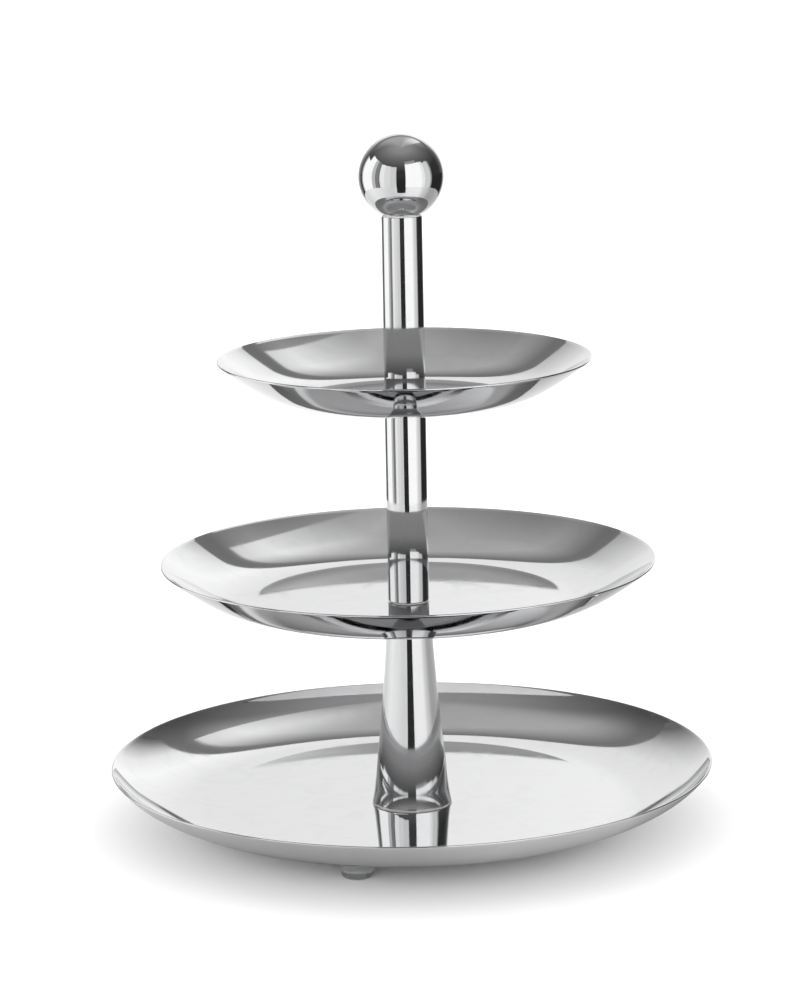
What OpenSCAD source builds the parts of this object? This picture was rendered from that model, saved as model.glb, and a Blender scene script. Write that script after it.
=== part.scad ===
// Three-tier cake stand in polished stainless steel. Three shallow dishes are clamped between three hollow
// columns, which screw into each other through the dishes, and a hollow ball screws on top as the knob.
// Origin: on the axis, in the plane that the feet stand on. +Z is up. Millimetres.

/* [Dishes] */
// Rim diameter of the bottom tray
bottom_d = 300; // [240:1:380]
// Rim diameter of the middle tray
middle_d = 245; // [190:1:310]
// Rim diameter of the top tray
top_d = 184; // [150:1:240]
// Height of the bottom tray's rim over its floor
bottom_depth = 22.2; // [18:0.1:27]
// Height of the middle tray's rim over its floor
middle_depth = 21.6; // [18:0.1:26]
// Height of the top tray's rim over its floor
top_depth = 21.3; // [17.5:0.1:26]
// Thickness of the steel sheet
sheet_t = 1; // [0.6:0.1:1.6]
// Radius of the corner between the bottom tray's floor and wall
bottom_corner_r = 72; // [40:1:90]
// Radius of the corner between floor and wall of the two upper trays
upper_corner_r = 60; // [35:1:74]
// Slope of the bottom tray's wall at its rim
bottom_rim_slope = 51; // [42:1:56]
// Slope of the middle and top trays' walls at their rims
upper_rim_slope = 38; // [36:1:46]
// Radius of the flat seat that a column clamps on, beyond the column
seat_margin = 2; // [1:0.5:5]

/* [Columns] */
// Height of the lower column
lower_col_h = 101.4; // [80:0.1:130]
// Height of the middle column
middle_col_h = 99; // [80:0.1:130]
// Height of the upper column
upper_col_h = 90.4; // [60:0.1:120]
// Diameter of the lower column's foot
lower_foot_d = 40.3; // [38:0.1:52]
// Height of the short outward sweep at the lower column's foot
sweep_h = 7.5; // [4:0.5:12]
// Diameter of the middle column, and of the upper column's lower end
column_d = 20.5; // [18:0.1:26]
// Diameter of the upper column's upper end
upper_end_d = 20; // [17:0.1:25]
// Wall of the columns
column_wall = 1.4; // [1:0.1:2.2]
// Rounding of the column ends
end_round = 0.4; // [0.2:0.1:0.8]

/* [Knob] */
// Diameter of the ball
ball_d = 41.8; // [34:0.1:52]
// Wall of the hollow ball
ball_wall = 1.2; // [0.8:0.1:2]
// Thickness of the ball's flat underside
ball_floor = 2; // [1.5:0.1:4]

/* [Feet] */
// Number of feet
feet = 4; // [3:1:6]
// Height of a foot
foot_h = 9.5; // [7.5:0.1:14]
// Diameter of a foot where it is glued on
foot_d = 16; // [12:0.5:20]
// Diameter of the face that a foot stands on
foot_face_d = 11; // [7:0.5:11]
// Distance of the feet from the axis
foot_ring_r = 97; // [70:1:100]
// Direction of the first foot
first_foot_angle = 74; // [0:1:90]

/* [Joints] */
// Outer diameter of the screw threads
thread_d = 6; // [4:0.5:8]
// Depth to which a stud or screw goes into a plug
thread_grip = 10; // [6:0.5:11]
// Radial room between a thread and its hole
thread_gap = 0.05; // [0.02:0.01:0.08]
// Radial room between a thread and the hole in a tray
hole_gap = 0.3; // [0.2:0.05:0.5]
// Length of the threaded plugs
plug_h = 14; // [12:0.5:20]
// Radial room between a plug and its tube
weld_gap = 0.02; // [0.01:0.01:0.05]
// Thickness of the sealing discs
seal_t = 0.6; // [0.3:0.1:1]
// How far a sealing disc stays back from the column's edge
seal_inset = 0.8; // [0.5:0.1:1.5]
// Diameter of the base screw's head
screw_head_d = 10.5; // [9.5:0.5:14]
// Height of the base screw's head
screw_head_h = 3.3; // [2.4:0.1:4.2]
// Width across flats of the hex socket in the base screw
socket_w = 4; // [3:0.5:5]
// Depth of the hex socket
socket_depth = 2; // [1.5:0.1:2.2]
// Diameter of the base washer
washer_d = 18; // [14:1:24]
// Thickness of the base washer
washer_t = 1.2; // [0.8:0.1:1.6]

/* [Hidden] */
// Slopes of the dish's inside line: where its floor meets the corner, and where the corner meets the wall
floor_slope = 1.9;
corner_end_slope = 31.5;
// Slopes of the lower column's side from the vertical: at its foot, above the sweep, and at its top
foot_lean = 13.5;
sweep_lean = 6.9;
top_lean = 2.9;
// Size of a step along an arc, in degrees, and round the small edges
arc_step = 2.5;
edge_step = 30;
// Share of a foot's height that is domed, and of the screw head's radius that is flat
foot_dome = 0.55;
head_flat = 0.6;
// How far a cutting body runs past the face it cuts
past = 1;

thread_r = thread_d / 2;
thread_hole_r = thread_r + thread_gap;
tray_hole_r = thread_r + hole_gap;
thread_chamfer = 0.6;
lower_foot_r = lower_foot_d / 2;
column_r = column_d / 2;
upper_end_r = upper_end_d / 2;
ball_r = ball_d / 2;
upper_bore_r = min(column_r, upper_end_r) - column_wall;
boss_r = upper_end_r - column_wall - 2;
boss_h = plug_h;

// Radius at which a dish's inside line ends, inside its rounded edge
function inside_r(rim_d, rim_slope) = rim_d / 2 - sheet_t / 2 * (1 + sin(rim_slope));
bottom_r = inside_r(bottom_d, bottom_rim_slope);
middle_r = inside_r(middle_d, upper_rim_slope);
top_r = inside_r(top_d, upper_rim_slope);
bottom_seat_r = lower_foot_r + seat_margin;
upper_seat_r = column_r + seat_margin;

// Dish shape: radius at which the floor ends, with the floor's dishing and the wall solved from the depth.
// Along the line the slope a goes 0 .. floor_slope .. corner_end_slope .. rim_slope on three tangent arcs.
function floor_end_r(rim_r, depth, seat_r, corner_r, rim_slope) =
    let (
        wall_run = 1 / tan((corner_end_slope + rim_slope) / 2),
        half = tan(floor_slope / 2),
        corner_w = corner_r * (sin(corner_end_slope) - sin(floor_slope)),
        corner_h = corner_r * (cos(floor_slope) - cos(corner_end_slope))
    )
    (rim_r - corner_w - wall_run * (depth + seat_r * half - corner_h)) / (1 - wall_run * half);

// Slopes stepped along an arc from a to b, both ends included
function steps(a, b) =
    let (n = max(2, ceil(abs(b - a) / arc_step)))
    [for (i = [0:n]) a + (b - a) * i / n];

// Points on an arc whose slope runs from a to b, starting at p, moved outwards by off
function arc(p, r, a, b, off) = [
    for (s = steps(a, b))
        [p[0] + r * (sin(s) - sin(a)) + off * sin(s), p[1] + r * (cos(a) - cos(s)) - off * cos(s)]
];

// Section line of a dish from the edge of its flat seat to its rim, moved outwards by off. Height 0 is the
// seat's upper face.
function dish_line(rim_r, depth, seat_r, corner_r, rim_slope, off) =
    let (
        floor_r = floor_end_r(rim_r, depth, seat_r, corner_r, rim_slope),
        dishing_r = (floor_r - seat_r) / sin(floor_slope),
        p1 = [floor_r, dishing_r * (1 - cos(floor_slope))],
        p2 = p1 + corner_r * [
            sin(corner_end_slope) - sin(floor_slope), cos(floor_slope) - cos(corner_end_slope)
        ],
        wall_r = (rim_r - p2[0]) / (sin(rim_slope) - sin(corner_end_slope))
    )
    concat(
        arc([seat_r, 0], dishing_r, 0, floor_slope, off),
        [for (q = arc(p1, corner_r, floor_slope, corner_end_slope, off)) if (q[0] > floor_r + 0.5) q],
        [for (q = arc(p2, wall_r, corner_end_slope, rim_slope, off)) if (q[0] > p2[0] + off + 0.2) q]
    );

function reversed(list) = [for (i = [len(list) - 1:-1:0]) list[i]];

// Height of the underside of the bottom tray over its lowest point, at radius r on the floor
function dishing_at(r) =
    let (
        floor_r = floor_end_r(bottom_r, bottom_depth, bottom_seat_r, bottom_corner_r, bottom_rim_slope),
        under_r = (floor_r - bottom_seat_r) / sin(floor_slope) + sheet_t
    )
    under_r - sqrt(under_r * under_r - pow(max(r - bottom_seat_r, 0), 2));

// Heights of the tray seats and of the column feet, from the floor upwards
// (the first is kept to a hundredth of a millimetre)
bottom_z = round(100 * (foot_h - dishing_at(foot_ring_r) + sheet_t)) / 100;
lower_col_z = bottom_z + seal_t;
lower_top_z = lower_col_z + lower_col_h;
middle_z = lower_top_z + seal_t + sheet_t;
middle_col_z = middle_z + seal_t;
middle_top_z = middle_col_z + middle_col_h;
top_z = middle_top_z + seal_t + sheet_t;
upper_col_z = top_z + seal_t;
upper_top_z = upper_col_z + upper_col_h;
knob_z = upper_top_z + seal_t;
ball_drop = sqrt(ball_r * ball_r - upper_end_r * upper_end_r);

// Outside radius of the lower column at height z over its foot: a short sweep below a long, slight arc
sweep_arc_r = sweep_h / (sin(foot_lean) - sin(sweep_lean));
side_arc_r = (lower_col_h - sweep_h) / (sin(sweep_lean) - sin(top_lean));
function lower_lean(z) = z <= sweep_h
    ? asin(sin(foot_lean) - z / sweep_arc_r)
    : asin(sin(sweep_lean) - (z - sweep_h) / side_arc_r);
function lower_r(z) = z <= sweep_h
    ? lower_foot_r - sweep_arc_r * (cos(lower_lean(z)) - cos(foot_lean))
    : lower_r(sweep_h) - side_arc_r * (cos(lower_lean(z)) - cos(sweep_lean));
lower_end_r = lower_r(lower_col_h);
base_plug_h = thread_grip + 1;
base_plug_r = lower_r(base_plug_h) - column_wall;
lower_plug_r = lower_end_r - column_wall;

// Studs and screws reach through the clamped tray and its two sealing discs
clamped_t = sheet_t + 2 * seal_t;

// A spun dish with a rounded edge, seat face at height 0, and a clearance hole in its middle
module dish(rim_r, depth, seat_r, corner_r, rim_slope) {
    inside = dish_line(rim_r, depth, seat_r, corner_r, rim_slope, 0);
    outside = dish_line(rim_r, depth, seat_r, corner_r, rim_slope, sheet_t);
    edge_r = sheet_t / 2;
    edge = inside[len(inside) - 1] + edge_r * [sin(rim_slope), -cos(rim_slope)];
    rounding = [
        for (a = [edge_step:edge_step:180 - edge_step])
            edge + edge_r * [sin(rim_slope + a), -cos(rim_slope + a)]
    ];
    color("gainsboro")
        difference() {
            rotate_extrude($fn = 144)
                polygon(concat([[0, 0], [0, -sheet_t]], outside, rounding, reversed(inside)));
            translate([0, 0, -sheet_t - past])
                cylinder(h = sheet_t + 2 * past, r = tray_hole_r, $fn = 48);
        }
}

module bottom_tray() {
    translate([0, 0, bottom_z])
        dish(bottom_r, bottom_depth, bottom_seat_r, bottom_corner_r, bottom_rim_slope);
}

module middle_tray() {
    translate([0, 0, middle_z])
        dish(middle_r, middle_depth, upper_seat_r, upper_corner_r, upper_rim_slope);
}

module top_tray() {
    translate([0, 0, top_z])
        dish(top_r, top_depth, upper_seat_r, upper_corner_r, upper_rim_slope);
}

// A clear bumper foot, domed towards the ground and cut to the tray's underside where it is glued on
module foot(i) {
    face_r = foot_face_d / 2;
    bulge = foot_d / 2 - face_r;
    dome_h = foot_h * foot_dome;
    top = foot_h + 2 * sheet_t;
    dome = [for (a = [0:15:90]) [face_r + bulge * sin(a), dome_h * (1 - cos(a))]];
    under = dish_line(
        bottom_r, bottom_depth, bottom_seat_r, bottom_corner_r, bottom_rim_slope, sheet_t
    );
    color("whitesmoke", 0.5)
        difference() {
            rotate([0, 0, first_foot_angle + 360 / feet * (i - 1)])
                translate([foot_ring_r, 0, 0])
                    rotate_extrude($fn = 48)
                        polygon(concat([[0, 0]], dome, [[foot_d / 2, top], [0, top]]));
            translate([0, 0, bottom_z])
                rotate_extrude($fn = 144)
                    polygon(concat([[0, bottom_depth], [0, -sheet_t]], under, [[bottom_r, bottom_depth]]));
        }
}

module base_washer() {
    color("silver")
        translate([0, 0, bottom_z - sheet_t - washer_t])
            difference() {
                cylinder(h = washer_t, d = washer_d, $fn = 72);
                translate([0, 0, -past])
                    cylinder(h = washer_t + 2 * past, r = tray_hole_r, $fn = 48);
            }
}

// Button-head screw, head down, with a hex socket
module base_screw() {
    seat = bottom_z - sheet_t - washer_t;
    head_r = screw_head_d / 2;
    shank = washer_t + sheet_t + seal_t + thread_grip;
    flat_r = head_r * head_flat;
    head = [for (a = [0:15:90]) [flat_r + (head_r - flat_r) * cos(a), -screw_head_h * sin(a)]];
    color("silver")
        translate([0, 0, seat])
            difference() {
                union() {
                    rotate_extrude($fn = 72)
                        polygon(concat([[0, 0]], head, [[0, -screw_head_h]]));
                    cylinder(h = shank - thread_chamfer, r = thread_r, $fn = 48);
                    translate([0, 0, shank - thread_chamfer])
                        cylinder(
                            h = thread_chamfer, r1 = thread_r, r2 = thread_r - thread_chamfer, $fn = 48
                        );
                }
                translate([0, 0, -screw_head_h - past])
                    cylinder(h = socket_depth + past, d = socket_w / cos(30), $fn = 6);
            }
}

// Thin silicone disc with a hole for the thread
module seal(z, r) {
    color("white", 0.6)
        translate([0, 0, z])
            difference() {
                cylinder(h = seal_t, r = r - seal_inset, $fn = 72);
                translate([0, 0, -past])
                    cylinder(h = seal_t + 2 * past, r = tray_hole_r, $fn = 48);
            }
}

module base_seal() seal(bottom_z, lower_foot_r);
module lower_top_seal() seal(lower_top_z, lower_end_r);
module middle_seal() seal(middle_z, column_r);
module middle_top_seal() seal(middle_top_z, column_r);
module top_seal() seal(top_z, column_r);
module knob_seal() seal(upper_top_z, upper_end_r);

// Flared tube whose inside follows its outside, with a straight seat at each end for a plug
module lower_column() {
    rise = [for (i = [0:12]) i < 4 ? sweep_h * i / 4 : sweep_h + (lower_col_h - sweep_h) * (i - 4) / 8];
    side = [for (z = rise) if (z > end_round && z < lower_col_h - end_round) [lower_r(z), z]];
    foot_edge = [[lower_foot_r - end_round, 0], [lower_r(end_round), end_round]];
    top_edge = [
        [lower_r(lower_col_h - end_round), lower_col_h - end_round], [lower_end_r - end_round, lower_col_h]
    ];
    hollow = [
        for (i = [0:8])
            let (z = base_plug_h + (lower_col_h - plug_h - base_plug_h) * i / 8)
            [lower_r(z) - column_wall, z]
    ];
    color("gainsboro")
        translate([0, 0, lower_col_z])
            rotate_extrude($fn = 96)
                polygon(concat(
                    [[base_plug_r, 0]], foot_edge, side, top_edge,
                    [[lower_plug_r, lower_col_h], [lower_plug_r, lower_col_h - plug_h]],
                    reversed(hollow)
                ));
}

// Straight or tapered tube with rounded ends
module tube(z, h, r1, r2, bore_r) {
    color("gainsboro")
        translate([0, 0, z])
            difference() {
                rotate_extrude($fn = 96)
                    polygon([
                        [0, 0], [r1 - end_round, 0], [r1, end_round],
                        [r2, h - end_round], [r2 - end_round, h], [0, h]
                    ]);
                translate([0, 0, -past])
                    cylinder(h = h + 2 * past, r = bore_r, $fn = 96);
            }
}

module middle_column() tube(middle_col_z, middle_col_h, column_r, column_r, column_r - column_wall);
module upper_column() tube(upper_col_z, upper_col_h, column_r, upper_end_r, upper_bore_r);

// Plug welded in a tube, with a threaded hole right through it
module plug(z, h, r) {
    color("darkgray")
        translate([0, 0, z])
            difference() {
                cylinder(h = h, r = r - weld_gap, $fn = 72);
                translate([0, 0, -past])
                    cylinder(h = h + 2 * past, r = thread_hole_r, $fn = 48);
            }
}

module lower_base_plug() plug(lower_col_z, base_plug_h, base_plug_r);
module lower_top_plug() plug(lower_top_z - plug_h, plug_h, lower_plug_r);
module middle_base_plug() plug(middle_col_z, plug_h, column_r - column_wall);
module middle_top_plug() plug(middle_top_z - plug_h, plug_h, column_r - column_wall);
module upper_base_plug() plug(upper_col_z, plug_h, upper_bore_r);
module upper_top_plug() plug(upper_top_z - plug_h, plug_h, upper_bore_r);

// Threaded stud with chamfered ends, from thread_grip below height z to thread_grip above z + across
module stud(z, across) {
    h = across + 2 * thread_grip;
    color("silver")
        translate([0, 0, z - thread_grip])
            rotate_extrude($fn = 48)
                polygon([
                    [0, 0], [thread_r - thread_chamfer, 0], [thread_r, thread_chamfer],
                    [thread_r, h - thread_chamfer], [thread_r - thread_chamfer, h], [0, h]
                ]);
}

module middle_stud() stud(lower_top_z, clamped_t);
module upper_stud() stud(middle_top_z, clamped_t);
module knob_stud() stud(upper_top_z, seal_t);

// Hollow ball, cut flat below where it seats on the column, with a hole for its boss
module ball_knob() {
    inner_r = ball_r - ball_wall;
    color("gainsboro")
        translate([0, 0, knob_z])
            difference() {
                intersection() {
                    translate([0, 0, ball_drop])
                        sphere(r = ball_r, $fn = 128);
                    translate([0, 0, ball_d])
                        cube(2 * ball_d, center = true);
                }
                intersection() {
                    translate([0, 0, ball_drop])
                        sphere(r = inner_r, $fn = 128);
                    translate([0, 0, ball_floor + ball_d])
                        cube(2 * ball_d, center = true);
                }
                translate([0, 0, -past])
                    cylinder(h = ball_floor + 2 * past, r = boss_r + weld_gap, $fn = 72);
            }
}

module knob_boss() {
    color("darkgray")
        translate([0, 0, knob_z])
            difference() {
                cylinder(h = boss_h, r = boss_r, $fn = 72);
                translate([0, 0, -past])
                    cylinder(h = boss_h + 2 * past, r = thread_hole_r, $fn = 48);
            }
}

bottom_tray();
for (i = [1:feet]) foot(i);
base_washer();
base_screw();
base_seal();
lower_column();
lower_base_plug();
lower_top_plug();
lower_top_seal();
middle_tray();
middle_seal();
middle_column();
middle_base_plug();
middle_top_plug();
middle_stud();
middle_top_seal();
top_tray();
top_seal();
upper_column();
upper_base_plug();
upper_top_plug();
upper_stud();
knob_seal();
ball_knob();
knob_boss();
knob_stud();
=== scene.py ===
import math

import bmesh
import bpy
from mathutils import Matrix, Vector


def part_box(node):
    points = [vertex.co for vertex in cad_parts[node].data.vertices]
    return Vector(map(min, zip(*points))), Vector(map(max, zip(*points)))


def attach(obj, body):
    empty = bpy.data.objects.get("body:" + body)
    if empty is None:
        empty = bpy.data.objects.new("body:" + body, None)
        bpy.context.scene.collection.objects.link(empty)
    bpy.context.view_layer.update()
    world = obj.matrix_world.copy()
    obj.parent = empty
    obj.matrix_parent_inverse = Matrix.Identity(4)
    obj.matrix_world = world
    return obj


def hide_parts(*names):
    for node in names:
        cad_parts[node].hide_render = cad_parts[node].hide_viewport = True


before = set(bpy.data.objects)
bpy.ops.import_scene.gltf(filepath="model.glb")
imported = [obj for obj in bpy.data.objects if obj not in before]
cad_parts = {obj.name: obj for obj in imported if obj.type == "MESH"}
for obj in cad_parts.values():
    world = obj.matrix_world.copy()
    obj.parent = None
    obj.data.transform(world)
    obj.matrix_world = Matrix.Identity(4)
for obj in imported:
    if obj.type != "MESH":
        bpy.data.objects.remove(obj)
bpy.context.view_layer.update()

# ------------------------------------------------------------------------------------------- trays
# Three dishes, spun on a lathe from 1 mm stainless steel sheet and polished to a mirror on both faces.
# Each has a flat seat with a hole in it, a floor that rises a little, a rounded corner, a flaring wall
# and a rounded edge. The columns clamp them at the seat.


class Outline:
    """A section line in the XZ plane, drawn step by step and then turned about the Z axis."""

    def __init__(self, radius, height, heading=0):
        self.bm = bmesh.new()
        self.tip = self.bm.verts.new((radius, 0, height))
        self.heading = heading

    def to(self, radius, height, heading=None):
        """Straight to a point; heading says which way the line points from there, in degrees."""
        self.tip = bmesh.ops.extrude_vert_indiv(self.bm, verts=[self.tip])["verts"][0]
        self.tip.co = (radius, 0, height)
        if heading is not None:
            self.heading = heading
        return self

    def bend(self, radius, heading, steps=6):
        """Along an arc of that radius until the line points the new way."""
        turn = heading - self.heading
        way = math.radians(self.heading)
        side = Vector((-math.sin(way), 0, math.cos(way))) * math.copysign(radius, turn)
        arc = bmesh.ops.spin(
            self.bm, geom=[self.tip], cent=self.tip.co + side, axis=(0, -1, 0),
            angle=math.radians(turn), steps=steps,
        )
        self.tip = next(v for v in arc["geom_last"] if isinstance(v, bmesh.types.BMVert))
        self.heading = heading
        return self

    def turned(self, steps=256):
        """The line turned through a full circle, as a mesh with its faces outwards."""
        bm = self.bm
        bmesh.ops.spin(
            bm, geom=bm.verts[:] + bm.edges[:], cent=(0, 0, 0), axis=(0, 0, 1),
            angle=math.tau, steps=steps, use_merge=True,
        )
        bmesh.ops.remove_doubles(bm, verts=bm.verts[:], dist=1e-6)
        bmesh.ops.recalc_face_normals(bm, faces=bm.faces[:])
        return bm


def piece(bm, name, material, slot, body, *nodes):
    """A finished piece from its mesh, in place of the CAD nodes that it stands for."""
    mesh = bpy.data.meshes.new(name)
    bm.to_mesh(mesh)
    bm.free()
    mesh.shade_smooth()
    mesh.set_sharp_from_angle(angle=math.radians(35))
    mesh.materials.append(material)
    made = bpy.data.objects.new(name, mesh)
    bpy.context.scene.collection.objects.link(made)
    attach(made, body)
    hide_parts(*nodes)
    return made


class Wire:
    """What comes out of a shader node. Arithmetic on wires adds Math nodes."""

    def __init__(self, tree, socket=None):
        self.tree, self.socket = tree, socket

    def node(self, kind, settings, sockets, out=0):
        """Adds a node: its settings first, then the values or wires of its sockets, by name or number."""
        made = self.tree.nodes.new("ShaderNode" + kind)
        for name, value in settings.items():
            if name == "stops":
                while len(made.color_ramp.elements) < len(value):
                    made.color_ramp.elements.new(1)
                for element, (position, grey) in zip(made.color_ramp.elements, value):
                    element.position, element.color = position, (grey, grey, grey, 1)
            else:
                setattr(made, name, value)
        for name, value in sockets.items():
            if isinstance(value, Wire):
                self.tree.links.new(value.socket, made.inputs[name])
            else:
                made.inputs[name].default_value = value
        return Wire(self.tree, made.outputs[out] if made.outputs else None)

    def math(self, operation, a, b=0.0):
        """Adds one Math node."""
        return self.node("Math", {"operation": operation}, {0: a, 1: b})

    def __add__(self, other):
        return self.math("ADD", self, other)

    def __mul__(self, other):
        return self.math("MULTIPLY", self, other)

    def __sub__(self, other):
        return self.math("SUBTRACT", self, other)

    def __rsub__(self, other):
        return self.math("SUBTRACT", other, self)

    __radd__, __rmul__ = __add__, __mul__


def new_material(name):
    """An empty material, with the wire that its nodes are added from."""
    material = bpy.data.materials.new(name)
    material.use_nodes = True
    material.node_tree.nodes.clear()
    return material, Wire(material.node_tree)


def polished_steel(name, along):
    """Mirror polish. The last polishing ran round the piece, so its faint marks are rings: along says
    whether they follow one another outwards ("radius") or upwards ("height")."""
    material, shader = new_material(name)
    place = shader.node("TexCoord", {}, {}, out="Object")
    if along == "radius":
        flat = shader.node("VectorMath", {"operation": "MULTIPLY"}, {0: place, 1: (1, 1, 0)})
        across = shader.node("VectorMath", {"operation": "LENGTH"}, {0: flat}, out="Value")
    else:
        across = shader.node("SeparateXYZ", {}, {0: place}, out="Z")
    rings = shader.node(
        "TexNoise", {"noise_dimensions": "1D"}, {"W": across * 1400, "Scale": 1, "Detail": 3}
    )
    waves = shader.node(
        "TexNoise", {}, {"Vector": place, "Scale": 22, "Detail": 1, "Roughness": 0.4}
    )
    wiped = shader.node(
        "TexNoise", {}, {"Vector": place, "Scale": 60, "Detail": 4, "Distortion": 1.2}
    )
    haze = shader.node("MapRange", {"clamp": True}, {0: wiped, 1: 0.48, 2: 0.78})
    steel = shader.node(
        "Mix", {"data_type": "RGBA"},
        {0: haze, 6: (0.79, 0.792, 0.8, 1), 7: (0.755, 0.757, 0.76, 1)}, out=2,
    )
    relief = shader.node(
        "Bump", {}, {"Strength": 1, "Distance": 0.00001, "Height": waves + rings * 0.012}
    )
    surface = shader.node("BsdfPrincipled", {}, {
        "Base Color": steel, "Metallic": 1, "Roughness": 0.035 + haze * 0.05 + rings * 0.02,
        "Normal": relief,
    })
    shader.node("OutputMaterial", {}, {"Surface": surface})
    return material


SHEET = 0.001
HOLE_RADIUS = 0.0033
FLOOR_SLOPE = 1.9
CORNER_SLOPE = 31.5
tray_steel = polished_steel("tray_mirror_polish", "radius")


def dish(name, node, body, seat_height, seat_radius, depth, corner_radius, rim_slope):
    """A tray from the hole outwards along its upper face, round its edge and back underneath."""
    floor, corner, rim = (math.radians(a) for a in (FLOOR_SLOPE, CORNER_SLOPE, rim_slope))
    rim_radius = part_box(node)[1].x - SHEET / 2 * (1 + math.sin(rim))
    wall_run = 1 / math.tan((corner + rim) / 2)
    half = math.tan(floor / 2)
    corner_width = corner_radius * (math.sin(corner) - math.sin(floor))
    corner_height = corner_radius * (math.cos(floor) - math.cos(corner))
    floor_radius = rim_radius - corner_width
    floor_radius -= wall_run * (depth + seat_radius * half - corner_height)
    floor_radius /= 1 - wall_run * half
    arcs = (
        ((floor_radius - seat_radius) / math.sin(floor), FLOOR_SLOPE, 12),
        (corner_radius, CORNER_SLOPE, 24),
        ((rim_radius - floor_radius - corner_width) / (math.sin(rim) - math.sin(corner)), rim_slope, 12),
    )
    line = Outline(HOLE_RADIUS, seat_height).to(seat_radius, seat_height)
    for radius, slope, steps in arcs:
        line.bend(radius, slope, steps)
    line.bend(SHEET / 2, rim_slope - 180, 8)
    for (radius, _, steps), slope in zip(reversed(arcs), (CORNER_SLOPE, FLOOR_SLOPE, 0)):
        line.bend(radius + SHEET, slope - 180, steps)
    line.to(HOLE_RADIUS, seat_height - SHEET).to(HOLE_RADIUS, seat_height)
    return piece(line.turned(288), name, tray_steel, "polished_steel", body, node)


dish(
    "bottom_dish", "bottom_tray", "base", seat_height=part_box("base_seal")[0].z, seat_radius=0.02215,
    depth=0.0222, corner_radius=0.072, rim_slope=51,
)
dish(
    "middle_dish", "middle_tray", "middle_tray", seat_height=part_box("middle_seal")[0].z,
    seat_radius=0.01225, depth=0.0216, corner_radius=0.060, rim_slope=38,
)
dish(
    "top_dish", "top_tray", "top_tray", seat_height=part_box("top_seal")[0].z,
    seat_radius=0.01225, depth=0.0213, corner_radius=0.060, rim_slope=38,
)

# ----------------------------------------------------------------------------------------- columns
# Three hollow columns of polished stainless steel. The lower one is formed with a flared foot; the
# middle and upper ones are tube, and the upper one is drawn a little narrower at its top.

END_ROUND = 0.0004
TUBE_WALL = 0.0014
NARROW_TOP = 0.01
SWEEP_HEIGHT = 0.0075
FOOT_LEAN, SWEEP_LEAN, TOP_LEAN = 13.5, 6.9, 2.9
column_steel = polished_steel("column_mirror_polish", "height")


def rounded(bm, radius, height, by):
    """Rounds the sharp ring at that radius and height."""
    near = 1e-5
    ring = [
        e for e in bm.edges
        if all(abs(v.co.z - height) < near and abs(v.co.xy.length - radius) < near for v in e.verts)
    ]
    bmesh.ops.bevel(
        bm, geom=ring, offset=by, affect="EDGES", segments=4, profile=0.5, material=-1
    )
    return bm


foot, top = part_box("lower_column")
plug_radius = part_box("lower_base_plug")[1].x
foot_rise, sweep_rise, top_rise = (math.sin(math.radians(a)) for a in (FOOT_LEAN, SWEEP_LEAN, TOP_LEAN))
flare = Outline(plug_radius, foot.z).to(top.x, foot.z, heading=90 + FOOT_LEAN)
flare.bend(SWEEP_HEIGHT / (foot_rise - sweep_rise), 90 + SWEEP_LEAN, 12)
flare.bend((top.z - foot.z - SWEEP_HEIGHT) / (sweep_rise - top_rise), 90 + TOP_LEAN, 16)
neck_radius = flare.tip.co.x
flare.to(neck_radius - TUBE_WALL, top.z).to(plug_radius, foot.z)
flared_shell = rounded(flare.turned(), top.x, foot.z, END_ROUND)
flared_shell = rounded(flared_shell, neck_radius, top.z, END_ROUND)
piece(flared_shell, "flared_column", column_steel, "polished_steel", "base", "lower_column")


def tube(name, node, top_radius):
    """A tube with rounded ends, straight or drawn narrower towards its top. It rides on its own body."""
    foot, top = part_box(node)
    bore = top_radius - TUBE_WALL
    line = Outline(bore, foot.z).to(top.x, foot.z).to(top_radius, top.z).to(bore, top.z).to(bore, foot.z)
    shell = rounded(rounded(line.turned(), top.x, foot.z, END_ROUND), top_radius, top.z, END_ROUND)
    return piece(shell, name, column_steel, "polished_steel", node, node)


tube("middle_tube", "middle_column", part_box("middle_column")[1].x)
tube("upper_tube", "upper_column", NARROW_TOP)

# -------------------------------------------------------------------------------------------- knob
# A hollow ball of polished stainless steel, flat underneath where it sits on the upper column. A boss
# is welded in it for the stud.

BALL_WALL = 0.0012
BALL_FLOOR = 0.002
BOSS_HOLE = 0.00662
foot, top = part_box("ball_knob")
ball_foot = foot.z
ball_radius = top.x
ball_centre = top.z - ball_radius
flat_radius = math.sqrt(ball_radius**2 - (ball_centre - ball_foot) ** 2)
inner_radius = ball_radius - BALL_WALL
inner_lean = math.degrees(math.asin((ball_centre - ball_foot - BALL_FLOOR) / inner_radius))
flat_lean = math.degrees(math.asin((ball_centre - ball_foot) / ball_radius))
ball = Outline(0, ball_centre + ball_radius)
ball.bend(ball_radius, -90 - flat_lean, 96)
ball.to(BOSS_HOLE, ball_foot).to(BOSS_HOLE, ball_foot + BALL_FLOOR)
ball.to(inner_radius * math.cos(math.radians(inner_lean)), ball_foot + BALL_FLOOR, heading=90 - inner_lean)
ball.bend(inner_radius, 180, 48)
ball_bm = rounded(ball.turned(192), flat_radius, ball_foot, END_ROUND)
ball_steel = polished_steel("ball_mirror_polish", "height")
piece(ball_bm, "ball", ball_steel, "polished_steel", "knob", "ball_knob")

# ---------------------------------------------------------------------------- turned steel fittings
# Plugs welded in the columns, the boss in the ball, and the screw and washer under the bottom tray are
# turned from stainless bar: a fine satin of tool marks round each.


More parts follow.
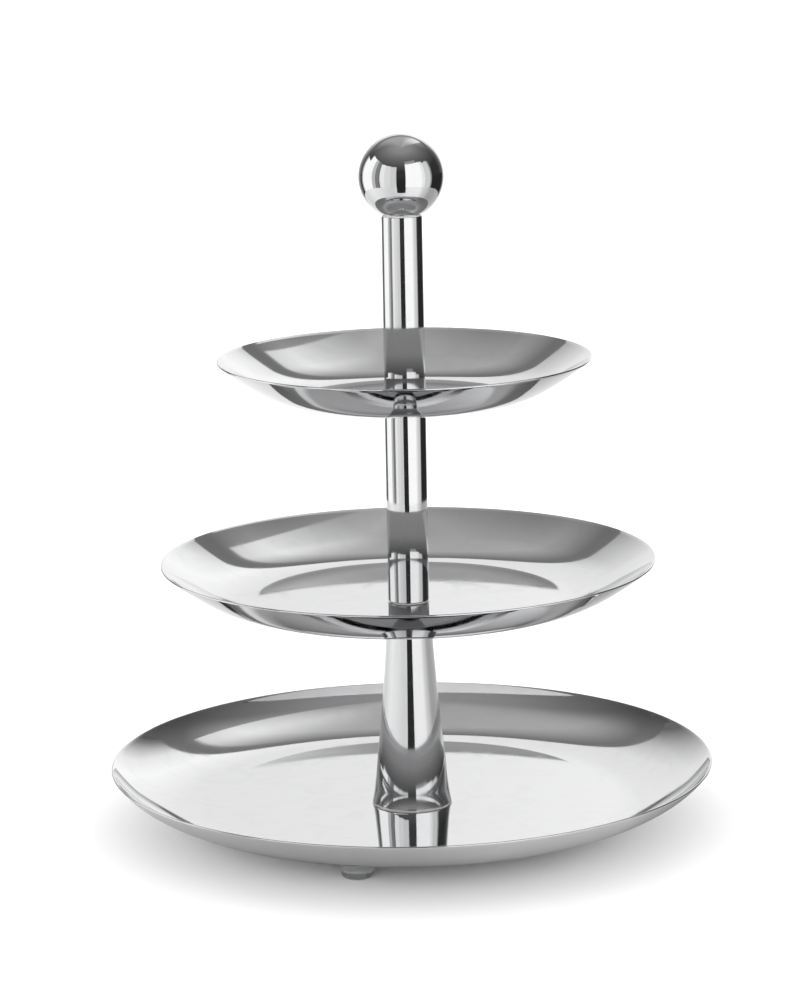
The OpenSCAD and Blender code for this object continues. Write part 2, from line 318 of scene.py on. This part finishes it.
def turned_steel():
    """Satin of fine tool marks that run round the piece."""
    material, shader = new_material("turned_steel")
    place = shader.node("TexCoord", {}, {}, out="Object")
    flat = shader.node("VectorMath", {"operation": "MULTIPLY"}, {0: place, 1: (1, 1, 0)})
    radius = shader.node("VectorMath", {"operation": "LENGTH"}, {0: flat}, out="Value")
    height = shader.node("SeparateXYZ", {}, {0: place}, out="Z")
    marks = shader.node(
        "TexNoise", {"noise_dimensions": "1D"}, {"W": (radius + height) * 5000, "Scale": 1, "Detail": 2}
    )
    stains = shader.node("TexNoise", {}, {"Vector": place, "Scale": 260, "Detail": 3})
    steel = shader.node(
        "Mix", {"data_type": "RGBA"},
        {0: marks * 0.6 + stains * 0.4, 6: (0.56, 0.56, 0.57, 1), 7: (0.68, 0.68, 0.68, 1)}, out=2,
    )
    relief = shader.node("Bump", {}, {"Strength": 0.6, "Distance": 0.00003, "Height": marks})
    surface = shader.node("BsdfPrincipled", {}, {
        "Base Color": steel, "Metallic": 1, "Roughness": 0.24 + marks * 0.14, "Normal": relief,
    })
    shader.node("OutputMaterial", {}, {"Surface": surface})
    return material


def dress(material, *nodes):
    """Gives CAD nodes that stay as they are their finish."""
    for node in nodes:
        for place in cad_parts[node].material_slots:
            place.material = material


satin_steel = turned_steel()
dress(
    satin_steel,
    "base_screw", "base_washer", "lower_base_plug", "lower_top_plug", "middle_base_plug", "middle_top_plug",
    "upper_base_plug", "upper_top_plug", "knob_boss",
)

# ------------------------------------------------------------------------------------------- studs
# Three studs with a rolled 6 mm thread of 1 mm pitch and chamfered ends. Each is fixed in the foot of the
# piece above a tray, reaches through the tray and screws into the column below.

PITCH = 0.001
THREAD_DEPTH = 0.61 * PITCH
STUD_CHAMFER = 0.0006
STEPS_A_TURN = 24


def stud(name, node, body):
    """A threaded rod: the flanks of one turn, wound upwards and cut level at both ends."""
    foot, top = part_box(node)
    turns = math.ceil((top.z - foot.z) / PITCH) + 1
    root = top.x - THREAD_DEPTH
    line = Outline(root, foot.z - PITCH).to(top.x, foot.z - PITCH / 2).to(root, foot.z)
    bm = line.bm
    bmesh.ops.spin(
        bm, geom=bm.verts[:] + bm.edges[:], cent=(0, 0, 0), axis=(0, 0, 1), angle=math.tau * turns,
        steps=STEPS_A_TURN * turns, dvec=(0, 0, PITCH / STEPS_A_TURN),
    )
    bmesh.ops.remove_doubles(bm, verts=bm.verts[:], dist=1e-5)
    for height, way in ((foot.z, -1), (top.z, 1)):
        cut = bmesh.ops.bisect_plane(
            bm, geom=bm.verts[:] + bm.edges[:] + bm.faces[:], plane_co=(0, 0, height),
            plane_no=(0, 0, way), clear_outer=True,
        )
        edges = [e for e in cut["geom_cut"] if isinstance(e, bmesh.types.BMEdge)]
        bmesh.ops.contextual_create(bm, geom=edges)
    for vert in bm.verts:
        from_end = min(vert.co.z - foot.z, top.z - vert.co.z)
        widest = top.x - STUD_CHAMFER + from_end
        vert.co.xy *= min(1, widest / vert.co.xy.length)
    bmesh.ops.recalc_face_normals(bm, faces=bm.faces[:])
    return piece(bm, name, satin_steel, "turned_steel", body, node)


stud("middle_threaded_stud", "middle_stud", "middle_column")
stud("upper_threaded_stud", "upper_stud", "upper_column")
stud("knob_threaded_stud", "knob_stud", "knob")

# ----------------------------------------------------------------------------------- sealing discs
# Thin discs of translucent silicone, cut from sheet and laid between each tray and the columns, so that
# the polished faces don't mark each other when the stand is screwed tight.


def silicone_sheet():
    """Milky silicone with a faint mottle."""
    material, shader = new_material("silicone_sheet")
    place = shader.node("TexCoord", {}, {}, out="Object")
    mottle = shader.node("TexNoise", {}, {"Vector": place, "Scale": 400, "Detail": 3})
    milk = shader.node(
        "Mix", {"data_type": "RGBA"},
        {0: mottle, 6: (0.62, 0.62, 0.6, 1), 7: (0.74, 0.74, 0.72, 1)}, out=2,
    )
    relief = shader.node("Bump", {}, {"Strength": 0.4, "Distance": 0.00005, "Height": mottle})
    surface = shader.node("BsdfPrincipled", {}, {
        "Base Color": milk, "Roughness": 0.42 + mottle * 0.16, "IOR": 1.41, "Transmission Weight": 0.35,
        "Normal": relief,
    })
    shader.node("OutputMaterial", {}, {"Surface": surface})
    return material


dress(
    silicone_sheet(),
    "base_seal", "lower_top_seal", "middle_seal", "middle_top_seal", "top_seal", "knob_seal",
)

# -------------------------------------------------------------------------------------------- feet
# Four clear silicone bumpers, moulded with a flat face and a round edge towards the table. They are
# glued in a ring under the bottom tray, and their glued faces follow its slope.


def clear_silicone():
    """Clear silicone, a little dusty and rippled."""
    material, shader = new_material("clear_silicone")
    place = shader.node("TexCoord", {}, {}, out="Object")
    dust = shader.node("TexNoise", {}, {"Vector": place, "Scale": 700, "Detail": 4})
    ripple = shader.node("TexNoise", {}, {"Vector": place, "Scale": 160, "Detail": 1})
    clear = shader.node(
        "Mix", {"data_type": "RGBA"},
        {0: dust, 6: (0.97, 0.975, 0.98, 1), 7: (0.9, 0.91, 0.92, 1)}, out=2,
    )
    relief = shader.node("Bump", {}, {"Strength": 0.5, "Distance": 0.00006, "Height": ripple})
    surface = shader.node("BsdfPrincipled", {}, {
        "Base Color": clear, "Roughness": 0.06 + dust * 0.1, "IOR": 1.41, "Transmission Weight": 0.92,
        "Normal": relief,
    })
    shader.node("OutputMaterial", {}, {"Surface": surface})
    return material


FOOT_FACE = 0.0055
FOOT_RADIUS = 0.008
bumper_silicone = clear_silicone()
lean = math.radians(FLOOR_SLOPE)
for number in (1, 2, 3, 4):
    low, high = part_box(f"foot_{number}")
    outwards = (low + high) / 2 * Vector((1, 1, 0))
    bumper = Outline(0, 0).to(FOOT_FACE, 0).bend(FOOT_RADIUS - FOOT_FACE, 90, 10)
    bumper.to(FOOT_RADIUS, high.z + SHEET).to(0, high.z + SHEET)
    bm = bumper.turned(64)
    bmesh.ops.translate(bm, verts=bm.verts[:], vec=outwards)
    cut = bmesh.ops.bisect_plane(
        bm, geom=bm.verts[:] + bm.edges[:] + bm.faces[:],
        plane_co=outwards + Vector((0, 0, high.z - FOOT_RADIUS * math.tan(lean))),
        plane_no=Vector((0, 0, math.cos(lean))) - outwards.normalized() * math.sin(lean), clear_outer=True,
    )
    rim = [e for e in cut["geom_cut"] if isinstance(e, bmesh.types.BMEdge)]
    bmesh.ops.contextual_create(bm, geom=rim)
    bmesh.ops.recalc_face_normals(bm, faces=bm.faces[:])
    piece(bm, f"bumper_{number}", bumper_silicone, "clear_silicone", "base", f"foot_{number}")

# ----------------------------------------------------------------------------------- table and room
# A white table top in soft daylight that comes in low from all round. The polished steel mirrors a studio
# that only reflections see: a white backdrop, two windows, grey screens and a domed ceiling, set round
# the stand. Directions are degrees to the right of the camera's side, and lifts degrees above level.


def lit(name, glow):
    """A plain glowing surface; glow is a number or a function that makes a wire."""
    material, shader = new_material(name)
    strength = glow(shader) if callable(glow) else glow
    surface = shader.node("Emission", {}, {"Strength": strength})
    shader.node("OutputMaterial", {}, {"Surface": surface})
    return material


def staged(bm, name, material, only_mirrored=True):
    """Something of the room, seen only in the steel unless told otherwise."""
    mesh = bpy.data.meshes.new(name)
    bm.to_mesh(mesh)
    bm.free()
    mesh.materials.append(material)
    made = bpy.data.objects.new(name, mesh)
    bpy.context.scene.collection.objects.link(made)
    if only_mirrored:
        made.visible_camera = made.visible_diffuse = made.visible_shadow = False
        made.visible_transmission = made.visible_volume_scatter = False
    return made


def table_top(name, tone):
    """White laminate; tone is a number or a function that makes a wire, and says how white it is; for the
    mirrored table it also carries painted light and shade.
    """
    material, shader = new_material(name)
    place = shader.node("TexCoord", {}, {}, out="Object")
    grain = shader.node("TexNoise", {}, {"Vector": place, "Scale": 40, "Detail": 3})
    white = tone(shader) if callable(tone) else tone
    surface = shader.node("BsdfDiffuse", {}, {"Color": white * (0.98 + grain * 0.02)})
    shader.node("OutputMaterial", {}, {"Surface": surface})
    return material


def turn_ramp(shader, stops):
    """Brightness by direction round the stand, from stops of a direction and a grey."""
    place = shader.node("TexCoord", {}, {}, out="Object")
    right, back = (shader.node("SeparateXYZ", {}, {0: place}, out=axis) for axis in ("X", "Y"))
    direction = shader.math("ARCTAN2", right, back * -1.0) * (1 / math.tau) + 0.5
    return shader.node("ValToRGB", {"stops": [(a / 360 + 0.5, grey) for a, grey in stops]}, {0: direction})


def table_painted_shade(shader):
    """Painted shade in the table's colour: lighter or darker by direction as the room's lights would fall
    on it, and painted dark straight in front, where the table would end in the dark room.
    """
    place = shader.node("TexCoord", {}, {}, out="Object")
    right, back = (shader.node("SeparateXYZ", {}, {0: place}, out=axis) for axis in ("X", "Y"))
    # painted light and shade: the table's colour is lighter or darker by direction round the stand, as the
    # room's lights would fall on it
    tone = turn_ramp(shader, (
        (-180, 0.68), (-130, 0.5), (-90, 0.64), (-60, 0.58), (-28, 0.48), (0, 0.5), (20, 0.64), (55, 0.64),
        (66, 0.48), (80, 0.38), (90, 0.27), (110, 0.27), (140, 0.34), (162, 0.52), (180, 0.68),
    ))
    # painted shade: a wedge of the table's colour straight in front is painted almost black, standing in
    # for the dark room past the table's edge
    in_front = shader.math("LESS_THAN", shader.math("ABSOLUTE", right), back * -PAINTED_DARK_SPREAD)
    beyond = shader.math("LESS_THAN", back, -PAINTED_DARK_START)
    return tone * (1 - in_front * beyond * PAINTED_DARKENING)


def disc(radius, height):
    """A level round surface about the stand's axis."""
    bm = bmesh.new()
    bmesh.ops.create_circle(bm, cap_ends=True, segments=96, radius=radius)
    bmesh.ops.translate(bm, verts=bm.verts[:], vec=(0, 0, height))
    return bm


FLOOR_RADIUS = 12
TABLE_RADIUS = 0.8
JUST_ABOVE = 0.0002
# Where the painted dark wedge in the table's colour starts in front, how fast it widens, and how dark it is
# painted.
PAINTED_DARK_START, PAINTED_DARK_SPREAD, PAINTED_DARKENING = 0.42, 0.22, 0.97
floor = staged(disc(FLOOR_RADIUS, 0), "floor", table_top("white_table_top", 0.92), only_mirrored=False)
floor.visible_glossy = False
# The table that the steel mirrors carries painted light and shade in its colour.
staged(disc(TABLE_RADIUS, JUST_ABOVE), "mirrored_table", table_top("mirrored_table_painted_shade", table_painted_shade))


def backdrop_glow(shader):
    """White in the middle, a little brighter on its right, and falling off to both sides."""
    return turn_ramp(shader, (
        (-180, 0.95), (-169, 0.9), (-160, 0.66), (-150, 0.36), (-142, 0.15), (-134, 0.17),
        (140, 0.04), (146, 0.25), (152, 0.62), (159, 1.0), (168, 1.15), (180, 0.95),
    ))


ROOM = 2.0
EYE = 0.25
for name, start, end, low, high, glow in (
    ("left_window", -108, -85, -23, 38, 1.2),
    ("left_window_back", -123, -108, -23, 27, 1.2),
    ("left_window_frame", -129, -123, -23, 27, 0.5),
    ("left_blind", -85, -74, -23, 38, 0.6),
    ("left_blind_edge", -74, -62, -23, 37, 0.24),
    ("grey_screen", -60, -46, -23, 34, 1.0),
    ("grey_screen_middle", -46, -30, -23, 33, 0.85),
    ("grey_screen_end", -30, -13, -23, 32, 0.75),
    ("right_window", 12, 58, -23, 39, 1.2),
    ("right_window_blind", 12, 48, 39, 46, 0.35),
    ("right_screen", 58, 67, -23, 38, 1.0),
    ("right_screen_end", 67, 85, -23, 34, 0.75),
    ("right_screen_edge", 85, 90, -23, 32, 0.35),
):
    bm = bmesh.new()
    way = math.radians(start)
    heights = [EYE + ROOM * math.tan(math.radians(lift)) for lift in (low, high)]
    ends = [bm.verts.new((ROOM * math.sin(way), -ROOM * math.cos(way), z)) for z in heights]
    edge = bm.edges.new(ends)
    bmesh.ops.spin(
        bm, geom=[*ends, edge], cent=(0, 0, 0), axis=(0, 0, 1), angle=math.radians(end - start), steps=12
    )
    staged(bm, name, lit(name, glow))

BACKDROP_LEFT, BACKDROP_RIGHT = -1.9, 1.6
BACKDROP_FOOT, BACKDROP_TOP = -0.6, 1.5
backdrop = bmesh.new()
hem = [backdrop.verts.new((x, ROOM, BACKDROP_FOOT)) for x in (BACKDROP_LEFT, BACKDROP_RIGHT)]
raised = bmesh.ops.extrude_edge_only(backdrop, edges=[backdrop.edges.new(hem)])["geom"]
head = [v for v in raised if isinstance(v, bmesh.types.BMVert)]
bmesh.ops.translate(backdrop, verts=head, vec=(0, 0, BACKDROP_TOP - BACKDROP_FOOT))
staged(backdrop, "mirrored_backdrop", lit("white_backdrop", backdrop_glow))


def dome_glow(shader):
    """Grey behind the backdrop, dim in front, with a bright patch of ceiling at the back on the right."""
    place = shader.node("TexCoord", {}, {}, out="Object")
    way = shader.node("VectorMath", {"operation": "SUBTRACT"}, {0: place, 1: (0, 0, EYE)})
    way = shader.node("VectorMath", {"operation": "NORMALIZE"}, {0: way})
    right, back, up = (shader.node("SeparateXYZ", {}, {0: way}, out=axis) for axis in ("X", "Y", "Z"))
    lift = shader.math("ARCSINE", up) * (180 / math.pi)
    aside = shader.math("ARCTAN2", right, back) * (180 / math.pi)
    behind = shader.node("ValToRGB", {"stops": [(e / 90, grey) for e, grey in (
        (26, 0.2), (35, 0.2), (38, 0.27), (42, 0.37), (47, 0.47), (58, 0.46), (75, 0.42), (90, 0.34),
    )]}, {0: lift * (1 / 90)})
    ahead = shader.node("ValToRGB", {"stops": [(e / 90, grey) for e, grey in (
        (20, 0.03), (33, 0.08), (46, 0.14), (56, 0.19), (70, 0.28), (90, 0.34),
    )]}, {0: lift * (1 / 90)})
    facing = shader.node(
        "MapRange", {"interpolation_type": "SMOOTHSTEP"}, {0: shader.math("ABSOLUTE", aside), 1: 62, 2: 20}
    )
    edge = shader.math("LESS_THAN", aside, 35 + (lift - 45) * 0.6)
    fade = shader.node("MapRange", {"interpolation_type": "SMOOTHSTEP"}, {0: aside, 1: 3, 2: 28})
    foot = shader.node("MapRange", {}, {0: lift, 1: 37, 2: 38.5})
    head = shader.node("MapRange", {}, {0: lift, 1: 48, 2: 72, 3: 0.55, 4: 0.1})
    return facing * behind + (1 - facing) * ahead + edge * fade * foot * head


DOME = 3.2
dome = Outline(DOME, EYE, heading=90).bend(DOME, 180, 32)
staged(dome.turned(96), "ceiling_dome", lit("ceiling", dome_glow))

SKY_SEEN, SKY_MIRRORED = 1.2, 0.03
world = bpy.data.worlds.new("sky")
bpy.context.scene.world = world
world.use_nodes = True
world.node_tree.nodes.clear()
sky = Wire(world.node_tree)
seen, mirrored = (sky.node("LightPath", {}, {}, out=f"Is {kind} Ray") for kind in ("Camera", "Glossy"))
height = sky.node("SeparateXYZ", {}, {0: sky.node("TexCoord", {}, {}, out="Generated")}, out="Z")
daylight = sky.node(
    "MapRange", {"interpolation_type": "SMOOTHSTEP"}, {0: height, 1: 0.25, 2: 0.75, 3: 6.4, 4: 0.55}
)
strength = (1 - seen) * (1 - mirrored) * daylight + seen * SKY_SEEN + mirrored * SKY_MIRRORED
sky.node("OutputWorld", {}, {"Surface": sky.node("Background", {}, {"Strength": strength})})

# ------------------------------------------------------------------------------------------ camera
# A long lens in front of the stand and a little higher than its knob, looking slightly down at the
# middle tray. It is turned and rolled by a hair, as a hand leaves it.

CAMERA_AT = (0, -1.7458, 0.5274)
LOOK_DOWN, ASIDE, ROLL = 11.763, 0.08, -1.054
camera = bpy.data.objects.new("camera", bpy.data.cameras.new("camera"))
bpy.context.scene.collection.objects.link(camera)
camera.data.lens = 130
camera.matrix_world = (
    Matrix.Translation(CAMERA_AT)
    @ Matrix.Rotation(math.radians(ASIDE), 4, "Z")
    @ Matrix.Rotation(math.radians(90 - LOOK_DOWN), 4, "X")
    @ Matrix.Rotation(math.radians(ROLL), 4, "Z")
)
bpy.context.scene.camera = camera
bpy.context.scene.view_settings.view_transform = "Standard"
bpy.context.scene.cycles.caustics_reflective = False
